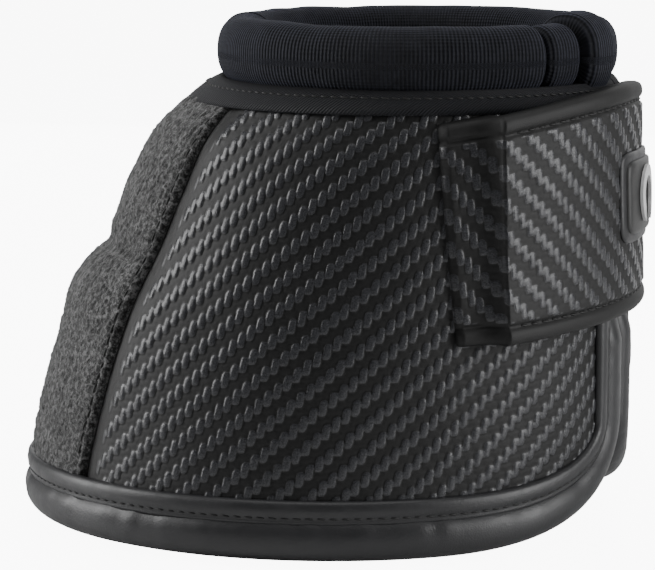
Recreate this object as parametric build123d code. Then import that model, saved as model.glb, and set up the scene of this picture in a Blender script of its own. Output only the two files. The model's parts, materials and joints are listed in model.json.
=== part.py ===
"""Over-reach (bell) boot for a horse's hoof: padded shell, rolled hem, padded collar, front closure.

Frame: +X to the front (toe, closure), -X to the rear (heel), +Y the inner side, -Y the outer side, +Z up.
The origin is the bottom centre of the boot's bounding box. Millimetres.
"""
from build123d import *
from functools import lru_cache
from math import cos, radians, sin
import os

# ---------------------------------------------------------------- driving dimensions
# Outer surface of the shell: height, rear x, front x, half width. Every level is an ellipse.
LEVELS = [
    (0.0, -79.0, 73.6, 72.6),
    (16.0, -79.6, 74.4, 72.6),
    (30.0, -77.2, 75.0, 71.2),
    (46.0, -72.6, 75.2, 69.2),
    (60.0, -67.4, 75.2, 66.6),
    (73.0, -59.2, 75.0, 63.4),
    (88.0, -52.0, 74.6, 59.8),
    (103.0, -44.0, 73.7, 54.9),
    (115.0, -33.0, 72.0, 49.2),
]
PANEL = 1.2             # outer skin thickness
FOAM = 3.9              # foam core thickness
LINING = 0.9            # lining thickness
LAYER_GAP = 0.1         # glue line between two layers of one body
WALL = PANEL + FOAM + LINING + 2 * LAYER_GAP

SEAM_ANGLE = 45.0       # of each strike panel seam, from the rear centre
HINGE_GAP = 0.5         # between the flap and the rest of the shell, at the outer seam
SEAM_GAP = 0.2          # between the strike panel and the inner side panel
SPLIT_Y = -4.0          # front edge of the outer flap
SPLIT_GAP = 0.6         # between the two front edges
CORNER_W = 56.0         # lower front corner of each flap: its width
CORNER_H = 29.0         # and height

ROLL_TOP = 11.4         # height of the rolled hem, and its width along the front edges
ROLL_PROUD = 2.8        # how far the roll stands out of the skin
ROLL_DEPTH = 8.8        # how far the roll reaches inside the skin
ROLL_GRIP = 5.0         # how far the shell's layers start inside the roll
ROLL_INSIDE_TOP = 20.0  # above this the roll of the front edges is flush with the lining
ROLL_PROUD_TOP = 46.0   # above this, under the strap, it is pressed nearly flat
ROLL_FLAT = 0.8         # how far the flat part stands out of the skin
BAND_TOP = 16.4         # top of the flat facing strip above the roll
BAND = 0.9              # thickness of the facing strip
THREAD = 0.5            # thread thickness
SEAM_STITCH = 2.0       # strike panel seam to its stitch line

TOP_Z = 114.4           # top edge of the shell's layers
COLLAR_X = 21.5
COLLAR_OUTER_R = 51.8
COLLAR_BORE_R = 37.8
COLLAR_Z = (114.7, 130.3)
COLLAR_ROUND = 6.2
COLLAR_SKIN = 1.2
COLLAR_SPLIT = 25.0     # angle of the collar's split, towards the outer side from the front
COLLAR_CAP = 14.0       # angle covered by each sewn end of the collar
COLLAR_END_PROUD = 1.6  # how much bigger the inner side's end is than the rest of the roll
BINDING = 1.3
BINDING_Z = (109.6, 114.4)

TONGUE_Z = (36.0, 106.0)
TONGUE_Y = (-28.0, 14.0)
TONGUE_TAPE_Y = (-25.0, -8.0)
TONGUE_CLEAR = 0.4      # between the hook tape and the loop tape

STRAP_IN = {45.0: (77.2, 72.4), 118.0: (75.8, 60.8)}   # height: front x, half width of its inner face
STRAP_REAR_X = -60.0
STRAP_THICK = 3.6
STRAP_FACE = 1.3
STRAP_HEEL_ANGLE = 64.0   # rear end of the strap's sewn base, towards the outer side from the front
STRAP_BASE_ANGLE = 52.0   # where the free strap starts
STRAP_END_ANGLE = 38.0    # of its free end, towards the inner side
STRAP_TAPE_ANGLES = (10.0, 34.0)
STRAP_OUTLINE = [   # y and height: four points along its lower edge, then five along its upper edge
    (-90, 50.5), (-60, 53.5), (0, 56.5), (60, 58.0),
    (60, 106.5), (0, 114.2), (-36, 112.2), (-60, 106.0), (-90, 97.0),
]
STRAP_TAPE_TOP = 107.0
STRAP_EDGE_SEAM = 4.6     # stitch line to strap edge
BADGE_Z = 85.8
BADGE_Y = -4.0
BADGE_FRAME = (32.0, 23.0)
BADGE_PLATE = (28.0, 19.0)
BADGE_CORNER = 3.0
BADGE_LAYERS = (1.0, 2.2, 3.0)   # outer faces of frame, plate and emblem above the strap

BIG = 400.0


# ---------------------------------------------------------------- construction helpers
def ellipse(z, rear, front, half, grow=0.0):
    """Closed horizontal section at height z, grown outwards by grow."""
    return Pos((rear + front) / 2, 0, z) * Ellipse((front - rear) / 2 + grow, half + grow)


@lru_cache(maxsize=None)
def bell(grow):
    """The whole inside of the shell's outer surface, grown outwards by grow."""
    return loft([ellipse(*level, grow) for level in LEVELS])


@lru_cache(maxsize=None)
def cone(grow):
    """The ruled solid that the strap is wrapped on."""
    return loft([ellipse(z, STRAP_REAR_X, x, half, grow) for z, (x, half) in STRAP_IN.items()], ruled=True)


def slab(z0, z1):
    return Pos(0, 0, (z0 + z1) / 2) * Box(BIG, BIG, z1 - z0)


def beyond(point, normal, gap=0.0):
    """Half space on the side of a plane that its normal points to, starting gap beyond it."""
    return Plane(origin=point, z_dir=normal) * (Pos(0, 0, BIG / 2 + gap) * Box(BIG, BIG, BIG))


def layer(outside, inside, z0=ROLL_GRIP, z1=TOP_Z):
    """Skin of the shell between two growths of its outer surface, all the way round."""
    return (bell(outside) - bell(inside)) & slab(z0, z1)


# The shell leans: the centre of its sections moves forwards with height, and the seams lie in planes
# through that leaning line.
AXIS_FOOT = Vector((LEVELS[0][1] + LEVELS[0][2]) / 2, 0, 0)
AXIS_HEAD = Vector((LEVELS[-1][1] + LEVELS[-1][2]) / 2, 0, LEVELS[-1][0])
AXIS = (AXIS_HEAD - AXIS_FOOT).normalized()


def seam_side(side, gap=0.0):
    """Everything in front of a strike panel seam. side is -1 for the outer seam, 1 for the inner one."""
    out = Vector(-cos(radians(SEAM_ANGLE)), side * sin(radians(SEAM_ANGLE)), 0)
    return beyond(AXIS_FOOT, side * out.cross(AXIS), gap)


def flap_zone(gap=0.0):
    """The outer flap's share of the shell, its boundaries moved inwards by gap (outwards if negative)."""
    split = beyond((0, SPLIT_Y, 0), (0, -1, 0), gap)
    return seam_side(-1, gap) & split


def collar_ray(angle, side):
    """Half space on one side of an upright plane through the collar's axis, at an angle from the front."""
    tangent = Vector(-sin(radians(angle)), -cos(radians(angle)), 0)
    return beyond((COLLAR_X, 0, 0), tangent * side)


def front_edge(edge_y, side, inset):
    """Prism along X that keeps what is inset from a flap's bottom, front edge and swept-up corner."""
    centre = (edge_y + side * CORNER_W, CORNER_H)
    first = -90 if side < 0 else 180
    corner = EllipticalCenterArc(centre, CORNER_W - inset, CORNER_H - inset, first, arc_size=90)
    edge = edge_y + side * inset
    far = side * BIG / 2
    rest = Polyline((edge, CORNER_H), (edge, BIG / 2), (far, BIG / 2), (far, inset), (centre[0], inset))
    return extrude(Plane.YZ * make_face(corner + rest), BIG / 2)


@lru_cache(maxsize=None)
def keep(side, inset):
    """What lies at least inset inside the bottom and front edges: side -1 the outer flap, 1 the rest."""
    if side < 0:
        return front_edge(SPLIT_Y, -1, inset) + Pos(-BIG / 4, 0, BIG / 4 + inset) * Box(BIG / 2, BIG, BIG / 2)
    front = front_edge(SPLIT_Y + SPLIT_GAP, 1, inset)
    return front + Pos(-BIG / 4, 0, BIG / 4 + inset) * Box(BIG / 2, BIG, BIG / 2)


def outer(ring, inset, gap=HINGE_GAP / 2):
    """The outer flap's piece of a ring."""
    return ring & keep(-1, inset) & flap_zone(gap)


def main(ring, inset, gap=HINGE_GAP / 2):
    """The rest of a ring: the rear and the inner side."""
    return (ring & keep(1, inset)) - flap_zone(-gap)


# ---------------------------------------------------------------- shell layers
def shell_pieces():
    skin = layer(0, -PANEL)
    foam = layer(-PANEL - LAYER_GAP, -PANEL - LAYER_GAP - FOAM)
    lining = layer(-WALL + LINING, -WALL)
    rear = (skin - seam_side(-1, -HINGE_GAP / 2)) - seam_side(1, 0)
    return {
        "rear_strike_panel": rear,
        "inner_side_panel": main(skin, ROLL_GRIP) & seam_side(1, SEAM_GAP),
        "main_foam_core": main(foam, ROLL_GRIP),
        "main_lining": main(lining, ROLL_GRIP),
        "outer_side_panel": outer(skin, ROLL_GRIP),
        "flap_foam_core": outer(foam, ROLL_GRIP),
        "flap_lining": outer(lining, ROLL_GRIP),
    }


def seam_threads():
    """Topstitching on the strike panel along each of its two seams."""
    rear = Pos(-BIG / 2 + COLLAR_X, 0, 0) * Box(BIG, BIG, BIG)
    ring = layer(THREAD + LAYER_GAP, LAYER_GAP, BAND_TOP + 1, BINDING_Z[0] - 1) & rear
    near, far = SEAM_STITCH, SEAM_STITCH + THREAD
    return {
        "outer_seam_thread": (ring & seam_side(-1, -far)) - seam_side(-1, -near),
        "inner_seam_thread": (ring & seam_side(1, -far)) - seam_side(1, -near),
    }


def anti_turn_pad():
    """Padded nodule inside the heel that sits in the hollow of the pastern."""
    ball = Pos(-40.0, 0, 86) * scale(Sphere(1), by=(12, 24, 15))
    return ball & bell(-WALL - LAYER_GAP)


# ---------------------------------------------------------------- hem
def hem_roll(cut, side):
    """Rolled edge that grips the shell's layers and turns up the front edge of the flap."""
    block = layer(ROLL_PROUD, -ROLL_DEPTH, 0, ROLL_INSIDE_TOP)
    block += layer(ROLL_PROUD, -WALL, ROLL_INSIDE_TOP, ROLL_PROUD_TOP)
    block += layer(ROLL_FLAT, -WALL, ROLL_PROUD_TOP, BINDING_Z[0] - 1)
    groove = layer(LAYER_GAP, -WALL - LAYER_GAP, 0, BIG)
    return (cut(block, 0) - keep(side, ROLL_TOP)) - (groove & keep(side, ROLL_GRIP - LAYER_GAP))


def hem_pieces():
    pieces = {}
    facing = layer(BAND, LAYER_GAP, 0, ROLL_PROUD_TOP)
    thread = layer(BAND + LAYER_GAP + THREAD, BAND + LAYER_GAP, 0, ROLL_PROUD_TOP)
    seam = ROLL_TOP + 1.0
    for name, side, cut in (("flap", -1, outer), ("main", 1, main)):
        pieces[f"{name}_hem_roll"] = hem_roll(cut, side)
        pieces[f"{name}_hem_band"] = cut(facing, ROLL_TOP + LAYER_GAP) - keep(side, BAND_TOP)
        pieces[f"{name}_hem_thread"] = cut(thread, seam) - keep(side, seam + THREAD)
    return pieces


# ---------------------------------------------------------------- collar
def collar_ring(inset):
    """Full ring of the collar's rounded section, inset on all sides (grown if negative)."""
    width = COLLAR_OUTER_R - COLLAR_BORE_R - 2 * inset
    bottom = COLLAR_Z[0] + max(inset, 0)
    top = COLLAR_Z[1] - inset
    centre = ((COLLAR_OUTER_R + COLLAR_BORE_R) / 2, (bottom + top) / 2)
    section = Plane.XZ * (Pos(*centre) * RectangleRounded(width, top - bottom, COLLAR_ROUND - inset))
    return Pos(COLLAR_X, 0, 0) * revolve(section, Axis.Z)


def collar_pieces():
    ring = collar_ring(0)
    core = collar_ring(COLLAR_SKIN + LAYER_GAP)
    cover = ring - collar_ring(COLLAR_SKIN)
    flap_zone_all = seam_side(-1, HINGE_GAP / 2) & collar_ray(COLLAR_SPLIT, 1)
    flap_run = flap_zone_all & collar_ray(COLLAR_SPLIT + COLLAR_CAP + 0.1, 1)
    flap_end = flap_zone_all - collar_ray(COLLAR_SPLIT + COLLAR_CAP, 1)
    start = COLLAR_SPLIT - 0.7
    taken = seam_side(-1, -HINGE_GAP / 2) & collar_ray(start - COLLAR_CAP - 0.1, 1)
    front = Pos(BIG / 2, 0, 0) * Box(BIG, BIG, BIG)
    main_end = (collar_ring(-COLLAR_END_PROUD) & front & collar_ray(start - COLLAR_CAP, 1)) - collar_ray(start, 1)
    binding = layer(BINDING, LAYER_GAP, *BINDING_Z)
    thread_z = BINDING_Z[1] - 1.5
    thread = layer(BINDING + LAYER_GAP + THREAD, BINDING + LAYER_GAP, thread_z, thread_z + THREAD)
    return {
        "flap_collar_cover": cover & flap_run,
        "flap_collar_foam": core & flap_run,
        "flap_collar_end": ring & flap_end,
        "main_collar_cover": cover - taken,
        "main_collar_foam": core - taken,
        "main_collar_end": main_end,
        "flap_collar_binding": outer(binding, 0),
        "main_collar_binding": main(binding, 0),
        "flap_collar_thread": outer(thread, 0),
        "main_collar_thread": main(thread, 0),
    }


# ---------------------------------------------------------------- front closure under the flap
def front_patch(outside, inside, y_range, z_range):
    """Piece of a shell layer at the front, between two widths and two heights."""
    window = Pos(BIG / 2, sum(y_range) / 2, 0) * Box(BIG, y_range[1] - y_range[0], BIG)
    return layer(outside, inside, *z_range) & window


def tongue_pieces():
    hook = -WALL - LAYER_GAP
    loop = hook - 0.9 - TONGUE_CLEAR
    tongue = loop - 0.6 - LAYER_GAP
    tape_z = (TONGUE_Z[0] + 5, TONGUE_Z[1] - 5)
    root_y = (SPLIT_Y + SPLIT_GAP + 0.4, TONGUE_Y[1])
    return {
        "flap_hook_tape": front_patch(hook, hook - 0.9, TONGUE_TAPE_Y, tape_z),
        "tongue_loop_tape": front_patch(loop, loop - 0.6, TONGUE_TAPE_Y, tape_z),
        "closure_tongue": front_patch(tongue, tongue - 2.0, TONGUE_Y, TONGUE_Z),
        "tongue_root_strip": front_patch(hook, tongue + LAYER_GAP, root_y, TONGUE_Z),
    }


# ---------------------------------------------------------------- strap
def strap_ray(angle):
    """Everything from a leaning plane, at an angle from the front (inner side positive), to the inner side."""
    out = Vector(cos(radians(angle)), sin(radians(angle)), 0)
    return beyond(AXIS_FOOT, AXIS.cross(out))


def strap_outline(inset):
    """Prism along X of the strap's outline in the front view, its long edges inset."""
    count = len(STRAP_OUTLINE) // 2
    points = [(y, z + inset) for y, z in STRAP_OUTLINE[:count]]
    points += [(y, z - inset) for y, z in STRAP_OUTLINE[count:]]
    return extrude(Plane.YZ * make_face(Polyline(*points, close=True)), BIG / 2)


def strap_span(first, last, inset=0.0):
    """What the strap's outline keeps between two angles from the front."""
    return (strap_ray(first) - strap_ray(last)) & strap_outline(inset)


def strap_pieces():
    whole = strap_span(-STRAP_BASE_ANGLE, STRAP_END_ANGLE)
    base = strap_span(-STRAP_HEEL_ANGLE, -STRAP_BASE_ANGLE - 0.5)
    tape = strap_span(STRAP_TAPE_ANGLES[0], STRAP_TAPE_ANGLES[1], 6.0) & slab(0, STRAP_TAPE_TOP)
    seam = STRAP_EDGE_SEAM
    thread_ring = cone(STRAP_THICK + LAYER_GAP + THREAD) - cone(STRAP_THICK + LAYER_GAP)
    start, end = -STRAP_BASE_ANGLE + 2.5, STRAP_END_ANGLE - 3.0
    lines = strap_span(start, end, seam) - strap_span(start + 0.45, end - 0.45, seam + THREAD)
    skin = STRAP_THICK - STRAP_FACE
    return {
        "strap_base": (cone(STRAP_THICK) - bell(LAYER_GAP)) & base & slab(0, BINDING_Z[0] - 0.3),
        "strap_face": (cone(STRAP_THICK) - cone(skin)) & whole,
        "strap_lining": (cone(skin - LAYER_GAP) - cone(0)) & whole,
        "strap_edge_thread": thread_ring & lines,
        "strap_hook_tape": (cone(-LAYER_GAP) - bell(1.1)) & tape,
        "inner_loop_tape": layer(0.7, LAYER_GAP) & tape,
    }


def badge_block(size, inner, outside):
    """Rounded block on the strap, between two heights above its face."""
    width, height = size
    outline = Pos(BADGE_Y, BADGE_Z) * RectangleRounded(width, height, BADGE_CORNER)
    prism = extrude(Plane.YZ * outline, BIG / 2)
    return (cone(STRAP_THICK + outside) - cone(STRAP_THICK + inner)) & prism


def emblem(inner, outside):
    """Raised horseshoe."""
    ring = Ellipse(6.6, 7.6) - Ellipse(4.0, 4.8) - Pos(0, -6.6) * Rectangle(6.4, 8.0)
    prism = extrude(Plane.YZ * (Pos(BADGE_Y, BADGE_Z) * ring), BIG / 2)
    return (cone(STRAP_THICK + outside) - cone(STRAP_THICK + inner)) & prism


def badge_pieces():
    frame, plate, mark = BADGE_LAYERS
    gap = 0.05
    return {
        "badge_frame": badge_block(BADGE_FRAME, gap + 0.02, frame),
        "badge_plate": badge_block(BADGE_PLATE, frame + gap, plate),
        "badge_emblem": emblem(plate + gap, mark),
    }


def build_all():
    os.makedirs("parts", exist_ok=True)
    pieces = {**shell_pieces(), **seam_threads(), "anti_turn_pad": anti_turn_pad()}
    pieces |= hem_pieces() | collar_pieces() | tongue_pieces() | strap_pieces() | badge_pieces()
    for name, shape in pieces.items():
        export_step(shape, f"parts/{name}.step")


build_all()
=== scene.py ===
"""Blender looks of the over-reach boot: soft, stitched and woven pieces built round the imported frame."""
import json
from math import cos, pi, radians, sin

import bmesh
import bpy
import numpy as np
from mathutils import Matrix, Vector


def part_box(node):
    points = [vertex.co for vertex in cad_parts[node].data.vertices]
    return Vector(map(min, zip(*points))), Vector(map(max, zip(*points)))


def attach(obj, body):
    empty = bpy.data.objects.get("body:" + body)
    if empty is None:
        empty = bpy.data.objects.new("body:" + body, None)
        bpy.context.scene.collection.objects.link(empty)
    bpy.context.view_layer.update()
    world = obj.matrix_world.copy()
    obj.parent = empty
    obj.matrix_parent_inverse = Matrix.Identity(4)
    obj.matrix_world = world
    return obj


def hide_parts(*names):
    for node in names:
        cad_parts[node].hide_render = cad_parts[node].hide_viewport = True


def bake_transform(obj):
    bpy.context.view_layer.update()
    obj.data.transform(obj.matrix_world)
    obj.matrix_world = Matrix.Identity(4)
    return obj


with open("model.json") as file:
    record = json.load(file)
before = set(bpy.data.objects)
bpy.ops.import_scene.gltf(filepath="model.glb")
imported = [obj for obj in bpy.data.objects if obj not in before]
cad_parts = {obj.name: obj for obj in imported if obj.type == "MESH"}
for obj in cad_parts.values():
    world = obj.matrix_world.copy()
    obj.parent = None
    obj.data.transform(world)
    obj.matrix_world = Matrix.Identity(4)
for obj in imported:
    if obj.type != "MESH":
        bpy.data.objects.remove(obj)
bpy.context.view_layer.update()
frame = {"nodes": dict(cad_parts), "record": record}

MM = 0.001

# ---------------------------------------------------------------- sizes, in millimetres
# Outer surface of the shell, as in part.py, but with the rear of its top edge drawn in under the collar:
# height, rear x, front x, half width.
LEVELS = np.array([
    (0.0, -79.0, 73.6, 72.6),
    (16.0, -79.6, 74.4, 72.6),
    (30.0, -77.2, 75.0, 71.2),
    (46.0, -72.6, 75.2, 69.2),
    (60.0, -67.4, 75.2, 66.6),
    (73.0, -59.2, 75.0, 63.4),
    (88.0, -52.0, 74.6, 59.8),
    (103.0, -44.0, 73.7, 54.9),
    (108.0, -38.4, 73.0, 52.5),
    (115.0, -28.8, 72.0, 49.2),
])
AXIS_FOOT, AXIS_HEAD, AXIS_TOP = -2.7, 19.5, 115.0   # x of the leaning middle line at z 0 and at z AXIS_TOP
MOUNTS = {m["name"]: m for m in frame["record"]["mounts"]}
COLLAR_X = MOUNTS["pastern_collar"]["pos_m"][0] / MM
COLLAR_Z = [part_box("main_collar_cover")[i][2] / MM for i in (0, 1)]
COLLAR_R = (37.8, 51.8)
COLLAR_ANGLES = (39.3, 25.2)      # seam and split of the outer side, from the front
COLLAR_SAG = 1.6                  # how far the padded roll sinks onto the binding
COLLAR_SEAM = 2.6                 # rounding of the roll into each seam
SEAM_ANGLE = 45.0
EDGE_Y = {-1: -4.3, 1: -3.2}      # front edge of the outer (-1) and inner (1) side
CORNER_W, CORNER_H = 56.0, 29.0   # swept-up lower front corner
ROLL = 12.6                       # height of the rolled hem
ROLL_FOOT = 1.1                   # lowest point of its padding
BAND_TOP = 16.6
TOP_Z = 115.0
BINDING_Z = (109.6, 114.6)
STRAP_IN = {45.0: (77.2, 72.4), 118.0: (75.8, 60.8)}
STRAP_REAR_X = -60.0
STRAP_THICK = 3.7
STRAP_START, STRAP_START_LEAN = -64.5, 10.5   # angle of the sewn end halfway up, and how much it leans
STRAP_FOLD, STRAP_FOLD_LEAN = -53.0, 5.5      # the same of the fold where the free strap starts
STRAP_END = 38.0
STRAP_SEAM = 4.6                  # strap edge to its stitches
STRAP_RIM = 5.2                   # plain rim of the strap, outside the weave
PANEL_SEAM = 2.2                  # edge of the strike panel to its stitches
BADGE_Y, BADGE_Z = -4.0, 85.8
HEEL_PAD_MIDDLE, HEEL_PAD_SIZE = (-40.0, 0.0, 86.0), (12.0, 24.0, 15.0)   # centre and half sizes
YARN = 2.0                        # pitch of the embossed weave
SKIN_BACK = -1.3                  # back of the skin, then the foam and lining, out from the shell's surface
FOAM_FRONT, FOAM_BACK = -1.5, -5.2
LINING_FRONT, LINING_BACK = -5.3, -6.2


# ---------------------------------------------------------------- shell coordinates
def hermite(z, column):
    """Smooth curve through one column of LEVELS."""
    zs, vs = LEVELS[:, 0], LEVELS[:, column]
    slopes = np.gradient(vs, zs)
    z = np.asarray(z, float)
    i = np.clip(np.searchsorted(zs, z) - 1, 0, len(zs) - 2)
    step = zs[i + 1] - zs[i]
    t = np.clip((z - zs[i]) / step, 0, 1)
    low = (2 * t**3 - 3 * t**2 + 1) * vs[i] + (t**3 - 2 * t**2 + t) * step * slopes[i]
    high = (3 * t**2 - 2 * t**3) * vs[i + 1] + (t**3 - t**2) * step * slopes[i + 1]
    beyond = np.where(z > zs[-1], (z - zs[-1]) * slopes[-1], 0)
    return low + high + beyond


def axis_x(z):
    """The shell leans: x of the line that seams and angles are drawn from, at height z."""
    return AXIS_FOOT + (AXIS_HEAD - AXIS_FOOT) * np.asarray(z, float) / AXIS_TOP


def on_ellipse(angle, z, centre, a, b):
    """Point at height z where the ray at an angle from the front meets an ellipse."""
    c, s = np.cos(np.radians(angle)), np.sin(np.radians(angle))
    x0 = axis_x(z) - centre
    qa = c * c / a**2 + s * s / b**2
    qb = 2 * x0 * c / a**2
    qc = x0**2 / a**2 - 1
    r = (-qb + np.sqrt(qb**2 - 4 * qa * qc)) / (2 * qa)
    return np.stack(np.broadcast_arrays(axis_x(z) + r * c, r * s, z), -1)


def shell(angle, z, grow):
    """Point of the shell's outer surface, grown outwards by grow."""
    angle, z, grow = np.broadcast_arrays(np.asarray(angle, float), np.asarray(z, float), np.asarray(grow, float))
    rear, front, half = (hermite(z, k) for k in (1, 2, 3))
    return on_ellipse(angle, z, (rear + front) / 2, (front - rear) / 2 + grow, half + grow)


def wrap_section(z):
    """Front x and half width, at height z, of the surface that the strap is wrapped on."""
    (z0, low), (z1, high) = STRAP_IN.items()
    t = (z - z0) / (z1 - z0)
    return low[0] + (high[0] - low[0]) * t, low[1] + (high[1] - low[1]) * t


def wrap(angle, z, grow):
    """Point of the surface that the strap is wrapped on."""
    angle, z, grow = np.broadcast_arrays(np.asarray(angle, float), np.asarray(z, float), np.asarray(grow, float))
    front, half = wrap_section(z)
    centre = (STRAP_REAR_X + front) / 2
    return on_ellipse(angle, z, centre, (front - STRAP_REAR_X) / 2 + grow, half + grow)


def angle_at_y(y, z):
    """Angle from the front of the shell's point at a given y, on the front side."""
    rear, front, half = (hermite(z, k) for k in (1, 2, 3))
    x = (rear + front) / 2 + (front - rear) / 2 * np.sqrt(np.clip(1 - (y / half) ** 2, 0, 1))
    return np.degrees(np.arctan2(y, x - axis_x(z)))


def hem_path(side, inset, top, run=150, corner=60, edge=50):
    """Angles and heights, at each inset from the edge, along the hem from the rear centre, round the corner
    and up the front edge."""
    w = np.atleast_1d(np.asarray(inset, float))[None, :]
    y0 = EDGE_Y[side]
    last = side * angle_at_y(y0 + side * CORNER_W + 0 * w, w)
    turn = 180 + (last - 180) * np.linspace(0, 1, run, endpoint=False)[:, None]
    phi = np.linspace(pi / 2, 0, corner, endpoint=False)[:, None]
    up = np.linspace(CORNER_H, top, edge)[:, None]
    corner_y, corner_z = corner_arc(y0, side, w, phi)
    angles = [side * turn + 0 * w, angle_at_y(corner_y, corner_z), angle_at_y(y0 + side * w + 0 * up, up + 0 * w)]
    heights = [w + 0 * turn, corner_z, up + 0 * w]
    return np.concatenate(angles), np.concatenate(heights)


def corner_arc(y0, side, inset, phi):
    """y and z along the swept-up corner, inset from its edge, from the bottom (phi a right angle) to the front."""
    y = y0 + side * (CORNER_W - (CORNER_W - inset) * np.cos(phi))
    return y, CORNER_H - (CORNER_H - inset) * np.sin(phi)


# ---------------------------------------------------------------- patterns, in millimetres
def value_noise(u, v, scale, seed):
    """Smooth random field from 0 to 1 with cells of the given size."""
    lattice = np.random.default_rng(seed).random((97, 89))
    u, v = np.asarray(u) / scale, np.asarray(v) / scale
    i, j = np.floor(u).astype(int), np.floor(v).astype(int)
    fu, fv = u - i, v - j
    fu, fv = fu * fu * (3 - 2 * fu), fv * fv * (3 - 2 * fv)
    corner = [lattice[(i + di) % 97, (j + dj) % 89] for di, dj in ((0, 0), (1, 0), (0, 1), (1, 1))]
    return (corner[0] * (1 - fu) + corner[1] * fu) * (1 - fv) + (corner[2] * (1 - fu) + corner[3] * fu) * fv


def twill(u, v):
    """Height from 0 to 1 of a 2/2 twill, and where its upright floats are."""
    a, b = u / YARN, v / YARN
    i = np.floor(a)
    along = np.mod(b - i, 4)
    across = (a - i - 0.5) * 2
    warp = 1 - np.abs(across / 1.08) ** 3.2 - np.abs((along - 1) / 1.06) ** 4.0
    warp = np.where(along < 2.06, np.clip(warp, 0, 1), 0) ** 0.5
    j = np.floor(b)
    reach = np.mod(a - j + 3, 4)
    rise = (b - j - 0.5) * 2
    weft = 1 - np.abs(rise) ** 2.2 - np.abs(reach - 1) ** 2.6
    weft = np.where(reach < 2, np.clip(weft, 0, 1), 0) ** 0.5
    return np.maximum(warp, 0.3 * weft), warp


def normals(points):
    """Unit normals of a grid of points."""
    du = np.gradient(points, axis=0)
    dv = np.gradient(points, axis=1)
    n = np.cross(du, dv)
    return n / np.linalg.norm(n, axis=-1, keepdims=True)


def outward(points):
    """Unit normals of a grid of points, turned away from the boot's middle."""
    n = normals(points)
    middle = np.array([COLLAR_X * 0.3, 0.0, 55.0])
    flip = np.sign(np.sum(n * (points - middle) * (1, 1, 0.2), axis=-1, keepdims=True))
    return n * np.where(flip == 0, 1, flip)


def cloth_grid(points, origin_column):
    """Distances along and up a grid of points, as on the flat cloth, from one of its columns."""
    steps = np.linalg.norm(np.diff(points, axis=0), axis=-1)
    u = np.concatenate([np.zeros((1, points.shape[1])), np.cumsum(steps, 0)])
    u -= u[origin_column][None, :]
    rises = np.linalg.norm(np.diff(points, axis=1), axis=-1)
    v = np.concatenate([np.zeros((points.shape[0], 1)), np.cumsum(rises, 1)], 1)
    return u, v


def cloth_at(angle, z):
    """Distances round and up the shell, whatever grid the point belongs to."""
    turns = np.linspace(-180, 180, 361)
    levels = np.linspace(0, 120, 61)
    turn, level = np.meshgrid(turns, levels, indexing="ij")
    around, up = cloth_grid(shell(turn, level, 0), 90)
    i = np.clip((angle + 180).astype(int), 0, 359)
    j = np.clip((z / 2).astype(int), 0, 59)
    fi, fj = angle + 180 - i, z / 2 - j
    pick = [
        (1 - fi) * ((1 - fj) * t[i, j] + fj * t[i, j + 1]) + fi * ((1 - fj) * t[i + 1, j] + fj * t[i + 1, j + 1])
        for t in (around, np.broadcast_to(up[90], up.shape))
    ]
    return pick[0], pick[1]


# ---------------------------------------------------------------- meshes
def mesh_object(name, points, faces):
    mesh = bpy.data.meshes.new(name)
    mesh.from_pydata((np.asarray(points).reshape(-1, 3) * MM).tolist(), [], faces)
    mesh.validate()
    mesh.shade_smooth()
    obj = bpy.data.objects.new(name, mesh)
    bpy.context.collection.objects.link(obj)
    return obj


def add_attribute(obj, name, values):
    """Point attribute, a number or a vector for each vertex."""
    values = np.asarray(values, np.float32)
    kind = "FLOAT" if values.ndim == 1 else "FLOAT_VECTOR"
    attribute = obj.data.attributes.new(name, kind, "POINT")
    attribute.data.foreach_set("value" if kind == "FLOAT" else "vector", values.ravel())


def grid_faces(n, m, close_m=False, start=0, flip=False):
    i = np.arange(n - 1)[:, None]
    j = np.arange(m if close_m else m - 1)[None, :]
    k = (j + 1) % m
    quads = np.stack(np.broadcast_arrays(i * m + j, (i + 1) * m + j, (i + 1) * m + k, i * m + k), -1)
    quads = quads.reshape(-1, 4) + start
    return (quads[:, ::-1] if flip else quads).tolist()


def tube(name, points, uv=None):
    """Closed piece from rings of points, capped at both ends."""
    n, m = points.shape[:2]
    faces = grid_faces(n, m, close_m=True)
    faces += [list(range(m)), list(range((n - 1) * m, n * m))[::-1]]
    obj = mesh_object(name, points, faces)
    add_attribute(obj, "cloth", cloth_vector(points, uv))
    fix_normals(obj)
    return obj


def cloth_vector(points, uv=None):
    u, v = uv if uv is not None else cloth_grid(points, 0)
    return np.stack([u, v, np.zeros_like(u)], -1).reshape(-1, 3)


def sheet(name, front, back, uv=None, extra=None):
    """Closed piece between two grids of points of the same shape."""
    n, m = front.shape[:2]
    points = np.concatenate([front.reshape(-1, 3), back.reshape(-1, 3)])
    faces = grid_faces(n, m) + grid_faces(n, m, start=n * m, flip=True)
    rim = [*range(m), *range(2 * m - 1, n * m, m), *range(n * m - 2, (n - 1) * m - 1, -1)]
    rim += [*range((n - 2) * m, 0, -m)]
    for a, b in zip(rim, rim[1:] + rim[:1]):
        faces.append([a, b, b + n * m, a + n * m])
    obj = mesh_object(name, points, faces)
    cloth = cloth_vector(front, uv)
    add_attribute(obj, "cloth", np.concatenate([cloth, cloth]))
    if extra is not None:
        add_attribute(obj, "float", np.concatenate([extra.ravel(), 0 * extra.ravel()]))
    fix_normals(obj)
    return obj


def fix_normals(obj):
    work = bmesh.new()
    work.from_mesh(obj.data)
    bmesh.ops.recalc_face_normals(work, faces=work.faces)
    work.to_mesh(obj.data)
    work.free()


def resample(points, step):
    """Points at even steps along a line of points."""
    lengths = np.linalg.norm(np.diff(points, axis=0), axis=1)
    at = np.concatenate([[0], np.cumsum(lengths)])
    want = np.arange(0, at[-1], step)
    return np.stack([np.interp(want, at, points[:, k]) for k in range(3)], -1)


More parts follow.
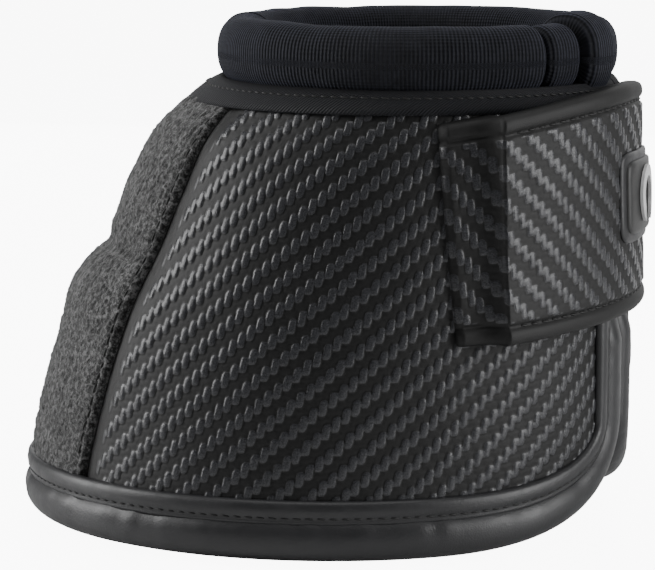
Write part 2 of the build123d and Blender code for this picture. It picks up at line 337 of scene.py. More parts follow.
def stitches(name, line, out, pitch=3.3, length=2.5, radius=0.3):
    """Row of stitches along a line of points. out gives the outward direction at each point."""
    centres = resample(line, pitch)
    around = np.linspace(0, 2 * pi, 6, endpoint=False)
    along = np.array([-1.0, -0.75, 0.0, 0.75, 1.0])
    width = np.array([0.25, 0.9, 1.0, 0.9, 0.25])
    dip = np.array([-0.9, -0.15, 0.25, -0.15, -0.9])
    points, faces = [], []
    for k in range(1, len(centres) - 1):
        tangent = centres[k + 1] - centres[k - 1]
        tangent /= np.linalg.norm(tangent)
        nearest = np.argmin(np.sum((line - centres[k]) ** 2, axis=1))
        normal = out[nearest] - tangent * np.dot(out[nearest], tangent)
        normal /= np.linalg.norm(normal)
        across = np.cross(tangent, normal)
        tilt = tangent + across * 0.12
        start = len(points)
        for a, w, d in zip(along, width, dip):
            middle = centres[k] + tilt * a * length / 2 + normal * d * radius
            for t in around:
                points.append(middle + radius * w * (np.cos(t) * across + np.sin(t) * normal * 0.8))
        faces += grid_faces(len(along), len(around), close_m=True, start=start)
        faces += [[start + i for i in range(6)][::-1], [start + 24 + i for i in range(6)]]
    obj = mesh_object(name, points, faces)
    fix_normals(obj)
    return obj


# ---------------------------------------------------------------- materials
class Shader:
    """Small helper for one procedural material."""

    def __init__(self, name, **values):
        self.material = bpy.data.materials.new(name)
        self.material.use_nodes = True
        self.nodes = self.material.node_tree.nodes
        self.links = self.material.node_tree.links
        self.bsdf = self.nodes["Principled BSDF"]
        for key, value in values.items():
            self.bsdf.inputs[key.replace("_", " ")].default_value = value
        self.relief = None

    def link(self, source, target):
        self.links.new(source, target)

    def place(self, attribute=None):
        if attribute:
            node = self.nodes.new("ShaderNodeAttribute")
            node.attribute_name = attribute
            return node.outputs["Vector"]
        return self.nodes.new("ShaderNodeTexCoord").outputs["Object"]

    def factor(self, attribute):
        node = self.nodes.new("ShaderNodeAttribute")
        node.attribute_name = attribute
        return node.outputs["Fac"]

    def noise(self, vector, scale, detail=3.0, rough=0.55):
        node = self.nodes.new("ShaderNodeTexNoise")
        node.inputs["Scale"].default_value = scale
        node.inputs["Detail"].default_value = detail
        node.inputs["Roughness"].default_value = rough
        self.link(vector, node.inputs["Vector"])
        return node.outputs["Fac"]

    def cells(self, vector, scale):
        node = self.nodes.new("ShaderNodeTexVoronoi")
        node.inputs["Scale"].default_value = scale
        self.link(vector, node.inputs["Vector"])
        return node.outputs["Distance"]

    def waves(self, vector, scale, axis="X", distortion=0.0):
        node = self.nodes.new("ShaderNodeTexWave")
        node.bands_direction = axis
        node.inputs["Scale"].default_value = scale
        node.inputs["Distortion"].default_value = distortion
        node.inputs["Detail"].default_value = 1.0
        self.link(vector, node.inputs["Vector"])
        return node.outputs["Fac"]

    def ramp(self, factor, stops):
        node = self.nodes.new("ShaderNodeValToRGB")
        elements = node.color_ramp.elements
        while len(elements) < len(stops):
            elements.new(0.5)
        for element, (at, colour) in zip(elements, stops):
            element.position = at
            grey = isinstance(colour, float)
            element.color = (colour, colour, colour, 1) if grey else (*colour, 1)
        self.link(factor, node.inputs["Fac"])
        return node.outputs["Color"]

    def mix(self, factor, a, b, blend="MIX"):
        node = self.nodes.new("ShaderNodeMix")
        node.data_type = "RGBA"
        node.blend_type = blend
        if isinstance(factor, float):
            node.inputs[0].default_value = factor
        else:
            self.link(factor, node.inputs[0])
        self.link(a, node.inputs[6])
        self.link(b, node.inputs[7])
        return node.outputs[2]

    def bump(self, height, distance, strength=1.0):
        node = self.nodes.new("ShaderNodeBump")
        node.inputs["Strength"].default_value = strength
        node.inputs["Distance"].default_value = distance
        self.link(height, node.inputs["Height"])
        if self.relief:
            self.link(self.relief, node.inputs["Normal"])
        self.relief = node.outputs["Normal"]
        self.link(self.relief, self.bsdf.inputs["Normal"])

    def colour(self, source):
        self.link(source, self.bsdf.inputs["Base Color"])

    def roughness(self, source):
        self.link(source, self.bsdf.inputs["Roughness"])


def carbon_material(name):
    s = Shader(name, Specular_IOR_Level=0.42)
    cloth = s.place("cloth")
    grain = s.noise(cloth, 2.6, 4.0, 0.7)
    # The raised floats of the weave are painted lighter than the near-black valleys between them, a painted glint
    # on each float. They are also made smoother, so they catch real highlights as well.
    painted_glint_colour = s.ramp(grain, [(0.35, (0.012, 0.0122, 0.0138)), (0.65, (0.055, 0.0565, 0.062))])
    painted_glint_mask = s.ramp(s.factor("float"), [(0.25, 0.0), (0.6, 1.0)])
    s.colour(s.mix(painted_glint_mask, s.ramp(grain, [(0.3, 0.0012), (0.7, 0.0035)]), painted_glint_colour))
    s.roughness(s.ramp(s.factor("float"), [(0.2, 0.6), (0.6, 0.25)]))
    s.bump(grain, 0.00012, 0.6)
    return s.material


def smooth_pu_material():
    s = Shader("smooth_pu", Roughness=0.42, Specular_IOR_Level=0.5)
    place = s.place()
    s.colour(s.ramp(s.noise(place, 60), [(0.3, (0.016, 0.0162, 0.0176)), (0.7, (0.023, 0.0233, 0.0250))]))
    s.roughness(s.ramp(s.noise(place, 220), [(0.3, 0.36), (0.7, 0.5)]))
    s.bump(s.cells(place, 2300), 0.00006, 0.5)
    s.bump(s.noise(place, 900), 0.00010, 0.4)
    return s.material


def abrasion_material():
    s = Shader("abrasion_fabric", Roughness=0.9, Specular_IOR_Level=0.2, Sheen_Weight=0.25, Sheen_Roughness=0.5)
    place = s.place()
    loops = s.ramp(s.noise(place, 850, 4.0, 0.75), [(0.40, 0.006), (0.5, 0.045), (0.62, 0.20)])
    patches = s.ramp(s.noise(place, 120), [(0.3, 0.55), (0.7, 1.0)])
    s.colour(s.mix(1.0, loops, patches, "MULTIPLY"))
    s.bump(s.noise(place, 1100, 4.0, 0.7), 0.0006, 0.9)
    return s.material


def knit_material():
    s = Shader("knit", Roughness=0.85, Specular_IOR_Level=0.25, Sheen_Weight=0.10, Sheen_Roughness=0.4)
    s.bsdf.inputs["Sheen Tint"].default_value = (0.45, 0.5, 0.8, 1)
    cloth = s.place("cloth")
    ribs = s.waves(cloth, 0.35, "X", 0.5)
    rungs = s.waves(cloth, 0.30, "Y", 0.8)
    tone = s.ramp(s.noise(cloth, 0.3), [(0.3, (0.0040, 0.0044, 0.0070)), (0.7, (0.0110, 0.0120, 0.0175))])
    # The knit is painted darker in the grooves between its ribs, a painted shade that follows the rib relief.
    s.colour(s.mix(0.7, tone, s.ramp(ribs, [(0.2, 0.35), (0.8, 1.0)]), "MULTIPLY"))
    s.bump(ribs, 0.00030, 0.9)
    s.bump(rungs, 0.00014, 0.7)
    s.bump(s.noise(cloth, 4.0), 0.00010, 0.5)
    return s.material


def tape_material():
    s = Shader("binding_tape", Roughness=0.7, Specular_IOR_Level=0.3)
    cloth = s.place("cloth")
    ribs = s.waves(cloth, 0.33, "X", 0.3)
    # The tape is painted darker in the grooves between its ribs, a painted shade that follows the rib relief.
    s.colour(s.ramp(ribs, [(0.2, (0.003, 0.0032, 0.0045)), (0.8, (0.012, 0.0125, 0.016))]))
    s.bump(ribs, 0.0002, 0.8)
    return s.material


def lining_material():
    s = Shader("lining_fabric", Roughness=0.95, Specular_IOR_Level=0.15, Sheen_Weight=0.4, Sheen_Roughness=0.5)
    place = s.place()
    s.colour(s.ramp(s.noise(place, 500, 4.0), [(0.3, (0.008, 0.0085, 0.01)), (0.7, (0.03, 0.031, 0.035))]))
    s.bump(s.noise(place, 1500, 4.0), 0.0002, 0.6)
    return s.material


def foam_material():
    s = Shader("foam", Roughness=0.8, Specular_IOR_Level=0.3)
    place = s.place()
    s.colour(s.ramp(s.cells(place, 900), [(0.1, 0.02), (0.8, 0.06)]))
    s.bump(s.cells(place, 1400), 0.0002, 0.5)
    return s.material


def hook_material():
    s = Shader("hook_tape", Roughness=0.5, Specular_IOR_Level=0.4)
    place = s.place()
    s.colour(s.ramp(s.cells(place, 1100), [(0.1, 0.035), (0.7, 0.006)]))
    s.bump(s.cells(place, 1100), 0.0005, 0.9)
    return s.material


def loop_material():
    s = Shader("loop_tape", Roughness=0.95, Specular_IOR_Level=0.1, Sheen_Weight=0.5, Sheen_Roughness=0.6)
    place = s.place()
    s.colour(s.ramp(s.noise(place, 1300, 5.0, 0.7), [(0.3, 0.006), (0.7, 0.03)]))
    s.bump(s.noise(place, 1500, 5.0, 0.7), 0.0005, 0.8)
    return s.material


def thread_material(name, low, high):
    s = Shader(name, Roughness=0.55, Specular_IOR_Level=0.4)
    place = s.place()
    s.colour(s.ramp(s.noise(place, 700), [(0.3, low), (0.7, high)]))
    s.bump(s.noise(place, 4000), 0.0001, 0.5)
    return s.material


def rubber_material(name, low, high):
    s = Shader(name, Roughness=0.45, Specular_IOR_Level=0.45)
    place = s.place()
    s.colour(s.ramp(s.noise(place, 300), [(0.3, low), (0.7, high)]))
    s.bump(s.noise(place, 1800), 0.00008, 0.5)
    return s.material


MATERIALS = {
    "carbon_pu": carbon_material("carbon_pu"),
    "smooth_pu": smooth_pu_material(),
    "abrasion_fabric": abrasion_material(),
    "knit": knit_material(),
    "binding_tape": tape_material(),
    "lining_fabric": lining_material(),
    "foam": foam_material(),
    "hook_tape": hook_material(),
    "loop_tape": loop_material(),
    "thread": thread_material("thread", 0.006, 0.016),
    "badge_rubber": rubber_material("badge_rubber", 0.018, 0.03),
    "badge_emblem": rubber_material("badge_emblem", 0.5, 0.62),
}


# ---------------------------------------------------------------- bodies
SEAM_POINT = Vector(shell(-180 + SEAM_ANGLE, 55.0, 0)) * MM
FOLD_POINT = Vector(wrap(STRAP_FOLD, 80.0, 0)) * MM


def finish_piece(obj, slot, body, *nodes):
    """Material, body and the CAD nodes a piece stands for. body may be far or a name, which the piece is attached
    to; near and strap_bend only bake its transform into the mesh.
    """
    obj.data.materials.append(MATERIALS[slot])
    if body == "near":
        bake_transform(obj)
    elif body == "strap_bend":
        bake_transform(obj)
    else:
        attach(obj, "shell" if body == "far" else body)
    if nodes:
        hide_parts(*nodes)
    return obj


SIDES = {-1: ("flap", "near"), 1: ("main", "far")}


# ---------------------------------------------------------------- shell pieces
def rear_relief(angle, z):
    """Crease and heel bulge of the strike panel, fading out towards its seams."""
    off = (180 - np.abs(angle)) / SEAM_ANGLE
    fade = np.clip(1 - off**2, 0, 1)
    crease = -1.5 * np.exp(-(((z - 72) / 3.0) ** 2))
    bulge = 1.3 * np.exp(-(((z - 60) / 8.0) ** 2))
    shoulder = 1.0 * np.exp(-(((z - 88) / 8.0) ** 2))
    return fade**0.5 * (crease + bulge + shoulder)


def strike_panel():
    angles = np.linspace(180 - SEAM_ANGLE, 180 + SEAM_ANGLE, 250)
    heights = np.linspace(BAND_TOP - 3, TOP_Z - 3, 190)
    angle, z = np.meshgrid(angles, heights, indexing="ij")
    plain = shell(angle, z, 0.2)
    u, v = cloth_grid(plain, len(angles) // 2)
    edge = np.minimum(u - u[:1], u[-1:] - u)
    bend = rear_relief(np.where(angle > 180, angle - 360, angle), z)
    nubs = value_noise(u, v, 1.0, 3) * 0.5 + value_noise(u, v, 0.65, 4) * 0.35 + value_noise(u, v, 2.6, 5) * 0.3
    rim = np.clip(edge / 1.2, 0, 1) ** 0.5
    stitch = -0.45 * np.exp(-(((edge - PANEL_SEAM) / 0.7) ** 2))
    grow = bend + (rim - 1) * 1.4 + (nubs - 0.5) * np.clip(edge, 0, 1) + stitch + 0.4
    front = plain + outward(plain) * grow[..., None]
    back = shell(angle, z, SKIN_BACK)
    obj = sheet("strike_panel", front, back)
    finish_piece(obj, "abrasion_fabric", "near", "rear_strike_panel")
    for side, name in ((0, "inner_seam_thread"), (-1, "outer_seam_thread")):
        column = int(np.argmin(np.abs(edge[: len(angles) // 2, 60] - PANEL_SEAM)))
        column = column if side == 0 else len(angles) - 1 - column
        line = front[column, 12:-8] + outward(plain)[column, 12:-8] * 0.25
        row = stitches(name + "_row", line, outward(plain)[column, 12:-8])
        finish_piece(row, "thread", "near" if side else "far", name)


def side_grid(side, low, columns, rows):
    """Angles and heights of a side panel: from the strike panel seam to the front edge, with a round corner."""
    count = 2 * columns // 5
    y0 = EDGE_Y[side]
    first = 180 - SEAM_ANGLE - 0.2
    start = side * angle_at_y(y0 + side * CORNER_W, low)
    run = side * np.linspace(first, start, columns - count, endpoint=False)
    phi = np.linspace(pi / 2, 0, count)
    corner_y, corner_z = corner_arc(y0, side, low, phi)
    foot = np.concatenate([run, angle_at_y(corner_y, corner_z)])
    foot_z = np.concatenate([np.full(columns - count, low), corner_z])
    head = side * first + (angle_at_y(y0 + side * low, TOP_Z - 3) - side * first) * ease(foot, foot_z)
    t = np.linspace(0, 1, rows)[None, :]
    angle = foot[:, None] * (1 - t) + head[:, None] * t
    return angle, foot_z[:, None] * (1 - t) + (TOP_Z - 3) * t


def ease(foot, foot_z):
    """Share of the way along the bottom boundary of each column."""
    points = shell(foot, foot_z, 0)
    steps = np.linalg.norm(np.diff(points, axis=0), axis=1)
    run = np.concatenate([[0], np.cumsum(steps)])
    return run / run[-1]


def side_panel(side, node, columns, rows):
    angle, z = side_grid(side, BAND_TOP - 3, columns, rows)
    plain = shell(angle, z, 0)
    u, v = cloth_at(angle, z)
    height, floats = twill(u, v)
    edge = np.linalg.norm(plain - plain[:1], axis=-1)
    fade = np.clip((edge - 3.0) / 4.0, 0.15, 1)
    wrinkle = 0.5 * (value_noise(u, v, 26, 11) - 0.5) + 0.25 * (value_noise(u, v, 12, 12) - 0.5)
    rim = (np.clip(edge / 1.4, 0, 1) ** 0.5 - 1) * 1.0 - 1.5 * np.clip(1 - edge / 9.0, 0, 1) ** 2
    grow = height * 0.4 * fade + wrinkle + rim
    front = plain + outward(plain) * grow[..., None]
    obj = sheet(node + "_skin", front, shell(angle, z, SKIN_BACK), (u, v), floats * fade)
    finish_piece(obj, "carbon_pu", SIDES[side][1], node)


def wall_layers(side):
    """Foam and lining behind the skin, from the rear centre to the front edge."""
    prefix, body = SIDES[side]
    rows, top = 40, TOP_Z - 1
    t = np.linspace(0, 1, rows)[None, :]
    foot, foot_z = (a[:, 0] for a in hem_path(side, 5.2, CORNER_H + 1, edge=2))
    head_end = angle_at_y(EDGE_Y[side] + side * 5.2, top)
    head = side * 180 + (head_end - side * 180) * ease(foot, foot_z)
    angle = foot[:, None] * (1 - t) + head[:, None] * t
    z = foot_z[:, None] * (1 - t) + top * t
    foam = sheet(prefix + "_foam_layer", shell(angle, z, FOAM_FRONT), shell(angle, z, FOAM_BACK))
    finish_piece(foam, "foam", body, prefix + "_foam_core")
    u, v = cloth_grid(shell(angle, z, -6), 0)
    puff = 0.4 * (value_noise(u, v, 9, 21) - 0.5)
    lining = sheet(prefix + "_lining_layer", shell(angle, z, LINING_FRONT), shell(angle, z, LINING_BACK - puff))
    finish_piece(lining, "lining_fabric", body, prefix + "_lining")


def hem(side):
    """Rolled hem, the flat strip above it and its stitching, from the rear centre up the front edge."""
    prefix, body = SIDES[side]
    turn = np.linspace(0, 2 * pi, 40, endpoint=False)
    power = 0.92
    c, s = np.cos(turn), np.sin(turn)
    w = ROLL_FOOT + (ROLL - ROLL_FOOT) * (0.5 + 0.5 * np.sign(c) * np.abs(c) ** power)
    lift = np.sign(s) * np.abs(s) ** power
    top = BINDING_Z[0]
    angle, z = hem_path(side, w, top)
    at = z[:, 0]
    front = np.arange(len(at)) > 200
    flat = np.where(front, np.clip((at - 49) / 8, 0, 1), 0)[:, None]
    inner = np.where(front, np.clip((at - 14) / 10, 0, 1), 0)[:, None]
    high = 2.9 - 2.1 * flat
    low = -8.7 + 2.4 * inner
    grow = (high + low) / 2 + (high - low) / 2 * lift[None, :]
    path = shell(angle, z, grow)
    along = np.concatenate([[0], np.cumsum(np.linalg.norm(np.diff(path[:, 0], axis=0), axis=1))])[:, None]
    upper = np.clip((w[None, :] - 4.5) / 5, 0, 1) * (lift[None, :] > 0)
    pucker = value_noise(along, 0 * along, 3.2, 31) - 0.5 + 0.6 * (value_noise(along, 0 * along, 7, 32) - 0.5)
    swell = 0.35 * (value_noise(along, 0 * along, 21, 33) - 0.5) * (lift[None, :] > 0)
    grow = grow + 0.4 * pucker * upper * (1 - flat) + swell
    roll = tube(prefix + "_hem_padding", shell(angle, z, grow))
    finish_piece(roll, "smooth_pu", body, prefix + "_hem_roll")

    strip_w = np.array([10.6, 11.6, 12.2, 12.9, 14.2, 15.6, 16.4, 16.7, 16.4, 14.2, 12.0, 11.0])
    strip_g = np.array([1.4, 1.5, 1.3, 1.9, 2.1, 1.9, 1.4, 0.5, -0.6, -0.9, -0.9, -0.5])
    angle, z = hem_path(side, strip_w, 57.0)
    band = tube(prefix + "_hem_strip", shell(angle, z, strip_g[None, :] + 0 * angle))
    finish_piece(band, "smooth_pu", body, prefix + "_hem_band")

    angle, z = hem_path(side, [12.4], 56.0, run=500, corner=60, edge=40)
    line = shell(angle[:, 0], z[:, 0], 1.6)
    out = shell(angle[:, 0], z[:, 0], 4.0) - line
    row = stitches(prefix + "_hem_stitching", line, out, pitch=3.0, length=2.2, radius=0.25)
    finish_piece(row, "thread", body, prefix + "_hem_thread")


def binding(side):
    """Ribbed tape round the foot of the collar, and its stitching."""
    prefix, body = SIDES[side]
    end = side * angle_at_y(EDGE_Y[side], TOP_Z)
    angles = side * np.linspace(180, end, 260)[:, None]
    z = BINDING_Z[0] + np.array([-0.7, -0.4, 1.0, 2.8, 4.4, 5.4, 5.4, 2.8, -0.3])[None, :]
    grow = np.array([0.2, 1.0, 1.5, 1.7, 1.6, 0.9, -1.5, -1.2, -0.8])[None, :]
    tape = tube(prefix + "_binding_tape", shell(angles, z, grow + 0 * angles))
    finish_piece(tape, "binding_tape", body, prefix + "_collar_binding")
    line = shell(angles[:, 0], BINDING_Z[0] + 3.6, 1.75)
    out = shell(angles[:, 0], BINDING_Z[0] + 3.6, 5.0) - line
    row = stitches(prefix + "_binding_stitching", line, out, pitch=2.6, length=2.0, radius=0.25)
    finish_piece(row, "thread", body, prefix + "_collar_thread")


# ---------------------------------------------------------------- collar
def collar_run(name, first, last, slot, body, nodes, grow=0.0, close=(False, False), bottom=0.0, steps=200):
    """Padded roll between two angles from the front, rounded off at an end where close says so."""
    turn = np.linspace(0, 2 * pi, 48, endpoint=False)
    c, s = np.cos(turn), np.sin(turn)
    angles = np.linspace(first, last, steps)[:, None]
    radius = sum(COLLAR_R) / 2
    reach = np.radians(np.abs(angles - first)) * radius, np.radians(np.abs(angles - last)) * radius
    shrink = np.ones_like(angles)
    for shut, distance in zip(close, reach):
        if shut:
            rounded = np.sqrt(np.clip(1 - (1 - np.clip(distance / COLLAR_SEAM, 0, 1)) ** 2, 0.0, 1))
            shrink = shrink * (0.6 + 0.4 * rounded)
    half_w = (COLLAR_R[1] - COLLAR_R[0]) / 2 + grow
    half_h = (COLLAR_Z[1] - COLLAR_Z[0] + bottom) / 2 + grow
    middle = (COLLAR_Z[1] + COLLAR_Z[0] - bottom) / 2
    along = np.radians(angles) * radius
    lump = 0.5 * (value_noise(along + 400, 0 * along, 15, 41) - 0.5)
    lump = lump + 0.3 * (value_noise(along + 400, 0 * along, 6, 42) - 0.5)
    r = radius + (half_w * np.sign(c) * np.abs(c) ** 0.9)[None, :] * shrink + lump * (c > 0)[None, :]
    z = middle + ((half_h * np.sign(s) * np.abs(s) ** 0.82)[None, :]) * shrink + lump * (s > 0)[None, :]
    x = COLLAR_X + r * np.cos(np.radians(angles))
    y = r * np.sin(np.radians(angles))
    u = along + 0 * r
    v = (turn * 8.5)[None, :] + 0 * r
    obj = tube(name, np.stack([x, y, z], -1), (u, v))
    finish_piece(obj, slot, body, *nodes)
    return obj


def collar():
    seam, split = COLLAR_ANGLES
    collar_run(
        "collar_outer_half", -180, -seam, "knit", "near", ("flap_collar_cover", "flap_collar_foam"),
        close=(False, True), bottom=COLLAR_SAG,
    )
    collar_run(
        "collar_outer_end", -seam + 0.2, -split, "knit", "flap", ("flap_collar_end",),
        close=(True, True), bottom=COLLAR_SAG, steps=60,
    )
    collar_run(
        "collar_inner_half", 180, -9.9, "knit", "shell", ("main_collar_cover", "main_collar_foam"),
        close=(False, True), bottom=COLLAR_SAG,
    )
    collar_run(
        "collar_inner_end", -9.7, -24.2, "knit", "shell", ("main_collar_end",),
        grow=2.3, close=(True, True), bottom=COLLAR_SAG, steps=60,
    )


# ---------------------------------------------------------------- strap and badge
def strap_edges(y):
    """Heights of the strap's lower and upper edge at a given y."""
    low = 56.4 + 0.02 * y - 0.00045 * y**2
    high = 114.2 - 0.035 * y - 0.0026 * y**2
    return low, high


def strap_sheet(run, across):
    """Angles and heights of the strap, whose sewn end and fold lean with height."""
    turn, share = np.meshgrid(run, across, indexing="ij")
    z = np.full_like(turn, 80.0)
    for _ in range(8):
        rise = (z - 80) / 50
        start, fold = STRAP_START - STRAP_START_LEAN * rise, STRAP_FOLD - STRAP_FOLD_LEAN * rise
        angle = np.where(turn < 0, fold + (fold - start) * turn, fold + (STRAP_END - fold) * turn)
        low, high = strap_edges(wrap(angle, z, STRAP_THICK)[..., 1])
        z = low + (high - low) * share
    return angle, z, turn


def strap():
    """Wrap strap: a sewn end that slopes up to a fold, then a smooth run round the front to a free tip."""
    across = np.linspace(0, 1, 150)
    run = np.concatenate([np.linspace(-1, 0, 45), np.linspace(0, 1, 250)[1:]])
    angle, z, turn = strap_sheet(run, across)
    plain = wrap(angle, z, STRAP_THICK)
    proud = np.linalg.norm(plain - shell(angle, z, 0), axis=-1)
    climb = np.clip(turn + 1, 0, 1)
    lift = 0.30 * np.sqrt(np.clip(climb / 0.16, 0, 1)) + 0.12 * climb + 0.58 * climb**5
    face = np.where(turn < 0, STRAP_THICK - proud * (1 - lift), STRAP_THICK)
    u, v = cloth_grid(plain, 0)
    u = -u
    rim = np.minimum(np.minimum(v, v[:, -1:] - v), np.radians(STRAP_END - angle) * 70)
    height, floats = twill(u, v)
    inside = np.clip((rim - STRAP_RIM) / 0.8, 0, 1)
    floats = floats * inside
    round_edge = (np.sqrt(np.clip(1 - (1 - np.clip(rim / 1.6, 0, 1)) ** 2, 0, 1)) - 1) * 1.6
    groove = -0.7 * np.exp(-(((rim - STRAP_SEAM) / 0.7) ** 2))
    hem_puff = 0.35 * np.exp(-(((rim - 2.4) / 1.6) ** 2))
    ridge = 0.7 * np.exp(-((np.clip(turn, 0, 1) * 75 / 2.5) ** 2)) * (turn >= 0)
    wave = 0.5 * (value_noise(u, v, 17, 51) - 0.5) + 0.25 * (value_noise(u, v, 7, 52) - 0.5)
    grow = face + round_edge + groove + hem_puff + ridge + wave + 0.32 * height * inside
    front = wrap(angle, z, grow)
    back = np.where((turn < 0)[..., None], shell(angle, z, 0.3), wrap(angle, z, 0.0))
    obj = sheet("wrap_strap", front, back, (u, v), floats)
    finish_piece(obj, "carbon_pu", "strap_bend", "strap_face", "strap_lining", "strap_base")
    out = outward(plain)
    for edge in (0, -1):
        columns = range(48, len(run) - 12)
        rows = [int(np.argmin(np.abs(np.abs(v[k] - v[k, edge]) - STRAP_SEAM))) for k in columns]
        line = np.array([front[k, row] + out[k, row] * 0.15 for k, row in zip(columns, rows)])
        way = np.array([out[k, row] for k, row in zip(columns, rows)])
        seam = stitches(f"strap_stitching_{'low' if edge == 0 else 'high'}", line, way, pitch=3.4, length=2.5)
        finish_piece(seam, "thread", "strap_bend", *(() if edge else ("strap_edge_thread",)))


def plaque(name, width, height, low, high, slot, node):
    """Raised rounded plate on the strap's face."""
    turns = np.linspace(0, 2 * pi, 96, endpoint=False)
    c, s = np.cos(turns), np.sin(turns)
    square = (np.abs(c) ** 7 + np.abs(s) ** 7) ** (-1 / 7)
    rings = np.array([0.02, 0.3, 0.6, 0.85, 0.93, 0.97, 1.0, 1.0])
    lifts = np.array([1.0, 1.0, 1.0, 1.0, 0.97, 0.85, 0.55, 0.0])
    y = BADGE_Y + width / 2 * rings[:, None] * (square * c)[None, :]
    z = BADGE_Z + height / 2 * rings[:, None] * (square * s)[None, :]
    grow = STRAP_THICK + low + (high - low) * lifts[:, None] + 0 * y
    points = on_wrap(y, z, grow)
    faces = grid_faces(len(rings), len(turns), close_m=True)
    faces += [list(range(len(turns)))]
    faces += [list(range((len(rings) - 1) * len(turns), len(rings) * len(turns)))[::-1]]
    obj = mesh_object(name, points, faces)
    fix_normals(obj)
    finish_piece(obj, slot, "strap", node)


def on_wrap(y, z, grow):
    """Point of the strap's surface at a given y and z."""
    front, half = wrap_section(z)
    a, b = (front - STRAP_REAR_X) / 2 + grow, half + grow
    x = (front + STRAP_REAR_X) / 2 + a * np.sqrt(1 - (y / b) ** 2)
    return np.stack(np.broadcast_arrays(x, y, z), -1)


def badge():
    plaque("badge_border", 32.0, 23.0, 0.0, 1.1, "smooth_pu", "badge_frame")
    plaque("badge_face", 27.5, 18.6, 0.6, 2.0, "badge_rubber", "badge_plate")


# ---------------------------------------------------------------- closure under the flap, and tapes
def soft_patch(name, front, back, slot, body, node, pile=0.15, corner=0.7):
    """Thin soft piece between two grids of points, with rounded edges and a rough face."""
    u, v = cloth_grid(front, 0)
    rim = np.minimum(np.minimum(u, u[-1:] - u), np.minimum(v, v[:, -1:] - v))
    edge = np.clip(rim / corner, 0, 1)
    share = 0.45 * (1 - np.sqrt(1 - (1 - edge) ** 2))[..., None]
    rough = pile * (value_noise(u, v, 0.9, 61) + 0.6 * value_noise(u, v, 4.5, 62) - 0.8) * edge
    face = front + (back - front) * share + outward(front) * rough[..., None]
    obj = sheet(name, face, back + (front - back) * share)
    finish_piece(obj, slot, body, node)
    return obj


def front_grid(y_range, z_range, columns, rows):
    y, z = np.meshgrid(np.linspace(*y_range, columns), np.linspace(*z_range, rows), indexing="ij")
    return angle_at_y(y, z), z


def closure():
    """Soft tongue behind the flap's front edge, its sewn root and the two halves of its touch tape."""
    pieces = [
        ("closure_tongue", (-28, 14), (36, 106), -8.35, -10.3, "lining_fabric", "shell", 0.3, 1.0),
        ("tongue_root_strip", (-3, 14), (36, 106), -6.3, -8.2, "lining_fabric", "shell", 0.2, 0.8),
        ("tongue_loop_tape", (-25, -8), (41, 101), -7.65, -8.2, "loop_tape", "shell", 0.15, 0.3),
        ("flap_hook_tape", (-25, -8), (41, 101), -6.3, -7.15, "hook_tape", "flap", 0.1, 0.3),
    ]
    for node, y_range, z_range, outside, inside, slot, body, pile, corner in pieces:
        angle, z = front_grid(y_range, z_range, 110, 150)
        front, back = shell(angle, z, outside), shell(angle, z, inside)
        obj = soft_patch(node + "_piece", front, back, slot, body, node, pile, corner)


def strap_tapes():
    """Touch tape between the strap's free end and the inner side panel."""
    angle, share = np.meshgrid(np.linspace(10.4, 33.6, 120), np.linspace(0, 1, 170), indexing="ij")
    low, high = strap_edges(wrap(angle, 80.0 + 0 * angle, STRAP_THICK)[..., 1])
    z = low + 6.5 + (np.minimum(high - 6.5, 106.5) - low - 6.5) * share
    soft_patch(
        "strap_hook_piece", wrap(angle, z, -0.15), shell(angle, z, 1.15), "hook_tape", "strap", "strap_hook_tape",
        0.1, 0.3,
    )
    soft_patch(
        "inner_loop_piece", shell(angle, z, 0.7), shell(angle, z, 0.12), "loop_tape", "shell", "inner_loop_tape",
        0.12, 0.3,
    )


def plain_nodes():
    """CAD nodes whose shape is right keep it, with a detailed material."""
    slots = {p["node"]: p["material_slot"] for p in frame["record"]["subparts"]}
    for name, obj in frame["nodes"].items():
        obj.data.materials.clear()
        obj.data.materials.append(MATERIALS[slots[name]])


def heel_pad():
    """Padded nodule inside the heel."""
    turns = np.linspace(0, 2 * pi, 64, endpoint=False)
    turn, rise = np.meshgrid(turns, np.linspace(-0.49, 0.49, 34) * pi, indexing="ij")
    ball = np.stack([np.cos(rise) * np.cos(turn), np.cos(rise) * np.sin(turn), np.sin(rise)], -1)
    points = np.transpose(np.array(HEEL_PAD_MIDDLE) + ball * np.array(HEEL_PAD_SIZE), (1, 0, 2))
    x, y, z = np.moveaxis(points, -1, 0)
    wall = shell(np.degrees(np.arctan2(y, x - axis_x(z))), z, LINING_BACK - 0.1)
    points[..., 0] = np.maximum(points[..., 0], wall[..., 0])
    obj = tube("heel_pad", points)
    finish_piece(obj, "lining_fabric", "shell", "anti_turn_pad")


# ---------------------------------------------------------------- camera, light and floor
def lit_for_camera(tree, dim, bright):
    """Strength that is bright where the camera sees it and dim where it only lights the boot."""
    path = tree.nodes.new("ShaderNodeLightPath")
    span = tree.nodes.new("ShaderNodeMapRange")
    span.inputs["To Min"].default_value = dim
    span.inputs["To Max"].default_value = bright
    tree.links.new(path.outputs["Is Camera Ray"], span.inputs["Value"])
    return span.outputs["Result"]


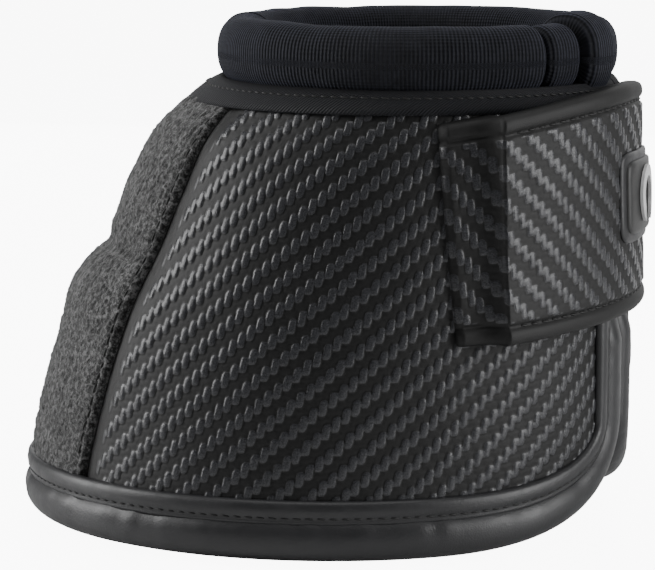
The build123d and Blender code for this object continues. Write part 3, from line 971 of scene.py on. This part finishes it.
def studio():
    bpy.ops.mesh.primitive_plane_add(size=6, location=(0, 0, 0))
    floor = bpy.context.object
    floor.name = "studio_floor"
    s = Shader("studio_floor", Roughness=0.35, Emission_Color=(1, 1, 1, 1))
    s.colour(s.ramp(s.noise(s.place(), 3), [(0.3, 0.86), (0.7, 0.9)]))
    s.link(lit_for_camera(s.material.node_tree, 0.0, 9.0), s.bsdf.inputs["Emission Strength"])
    floor.data.materials.append(s.material)
    world = bpy.data.worlds.new("studio")
    world.use_nodes = True
    background = world.node_tree.nodes["Background"]
    background.inputs["Color"].default_value = (1, 1, 1, 1)
    world.node_tree.links.new(lit_for_camera(world.node_tree, 0.12, 13.0), background.inputs["Strength"])
    bpy.context.scene.world = world
    area("left", (-0.80, -0.08, 0.38), (0.4, 0.6), 7.5)
    area("right", (0.82, -0.12, 0.32), (0.4, 0.6), 6)
    area("top", (0.05, 0.0, 0.9), (0.7, 0.7), 3.5)
    area("back", (0.0, 0.9, 0.35), (1.4, 0.7), 4)


def area(name, place, size, power):
    light = bpy.data.lights.new(name, "AREA")
    light.shape = "RECTANGLE"
    light.size, light.size_y = size
    light.energy = power
    obj = bpy.data.objects.new(name, light)
    obj.location = place
    obj.rotation_euler = (Vector((0, 0, 0.06)) - Vector(place)).to_track_quat("-Z", "Y").to_euler()
    obj.visible_camera = False
    bpy.context.collection.objects.link(obj)


def camera():
    azimuth, distance, height, aim = 12.0, 0.83, 0.181, Vector((-0.002, 0.0, 0.059))
    data = bpy.data.cameras.new("camera")
    data.lens = 175.0
    obj = bpy.data.objects.new("camera", data)
    obj.location = (distance * sin(radians(azimuth)), -distance * cos(radians(azimuth)), height)
    obj.rotation_euler = (aim - obj.location).to_track_quat("-Z", "Y").to_euler()
    bpy.context.collection.objects.link(obj)
    bpy.context.scene.camera = obj


plain_nodes()
strike_panel()
side_panel(-1, "outer_side_panel", 500, 230)
side_panel(1, "inner_side_panel", 500, 230)
for side in (-1, 1):
    wall_layers(side)
    hem(side)
    binding(side)
collar()
heel_pad()
strap()
badge()
closure()
strap_tapes()
studio()
camera()
